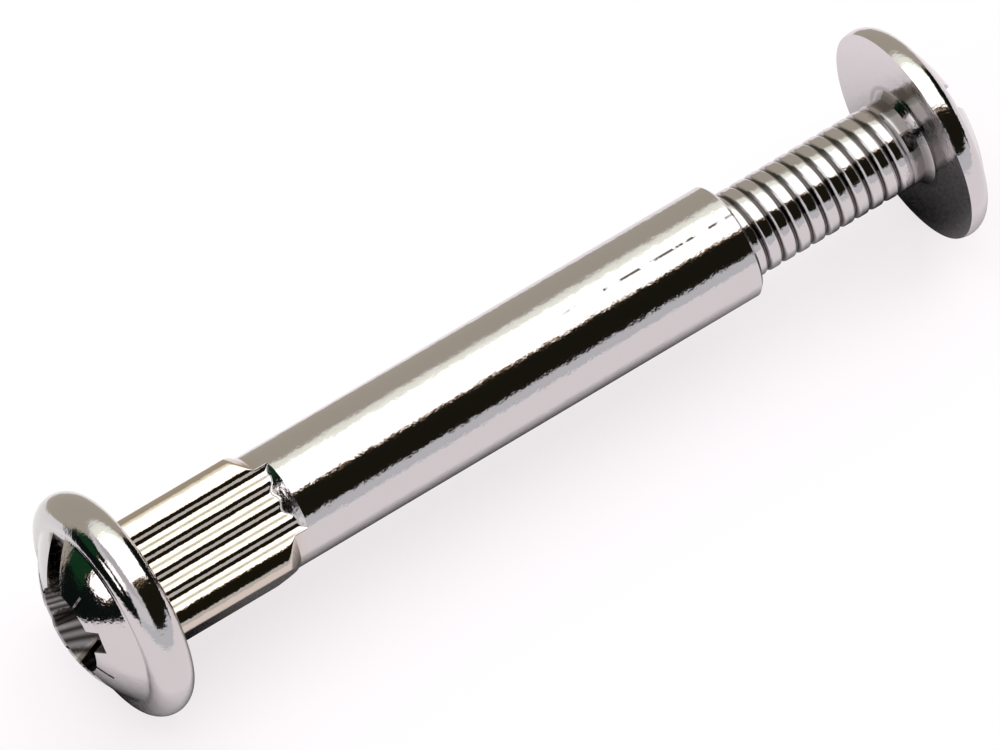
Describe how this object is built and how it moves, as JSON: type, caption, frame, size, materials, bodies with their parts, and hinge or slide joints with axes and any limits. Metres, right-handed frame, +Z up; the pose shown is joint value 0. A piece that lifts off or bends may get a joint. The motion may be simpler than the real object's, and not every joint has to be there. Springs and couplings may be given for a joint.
{
  "type": "binding barrel screw",
  "caption": "Long domed barrel nut with a ribbed neck under its head, and a domed machine screw that threads into its mouth to clamp panels between the two heads.",
  "frame": {"origin": "centre of the barrel's mouth, on the common axis of barrel and screw", "axes": "+X along the common axis from the barrel towards the screw's head, +Z up as the part lies on the rims of its two heads"},
  "size_m": [0.0471, 0.011, 0.011],
  "materials": {
    "barrel_nickel": "bright nickel plate over steel, with a faint ripple",
    "screw_nickel": "bright nickel plate over steel"
  },
  "bodies": {
    "barrel": {"barrel_nut": "barrel_nickel"},
    "screw": {"screw": "screw_nickel"}
  },
  "joints": [
    {"name": "screw_travel", "type": "slide", "parent": "barrel", "child": "screw", "axis": [1, 0, 0], "range_m": [-0.00953, 0.00953]}
  ]
}
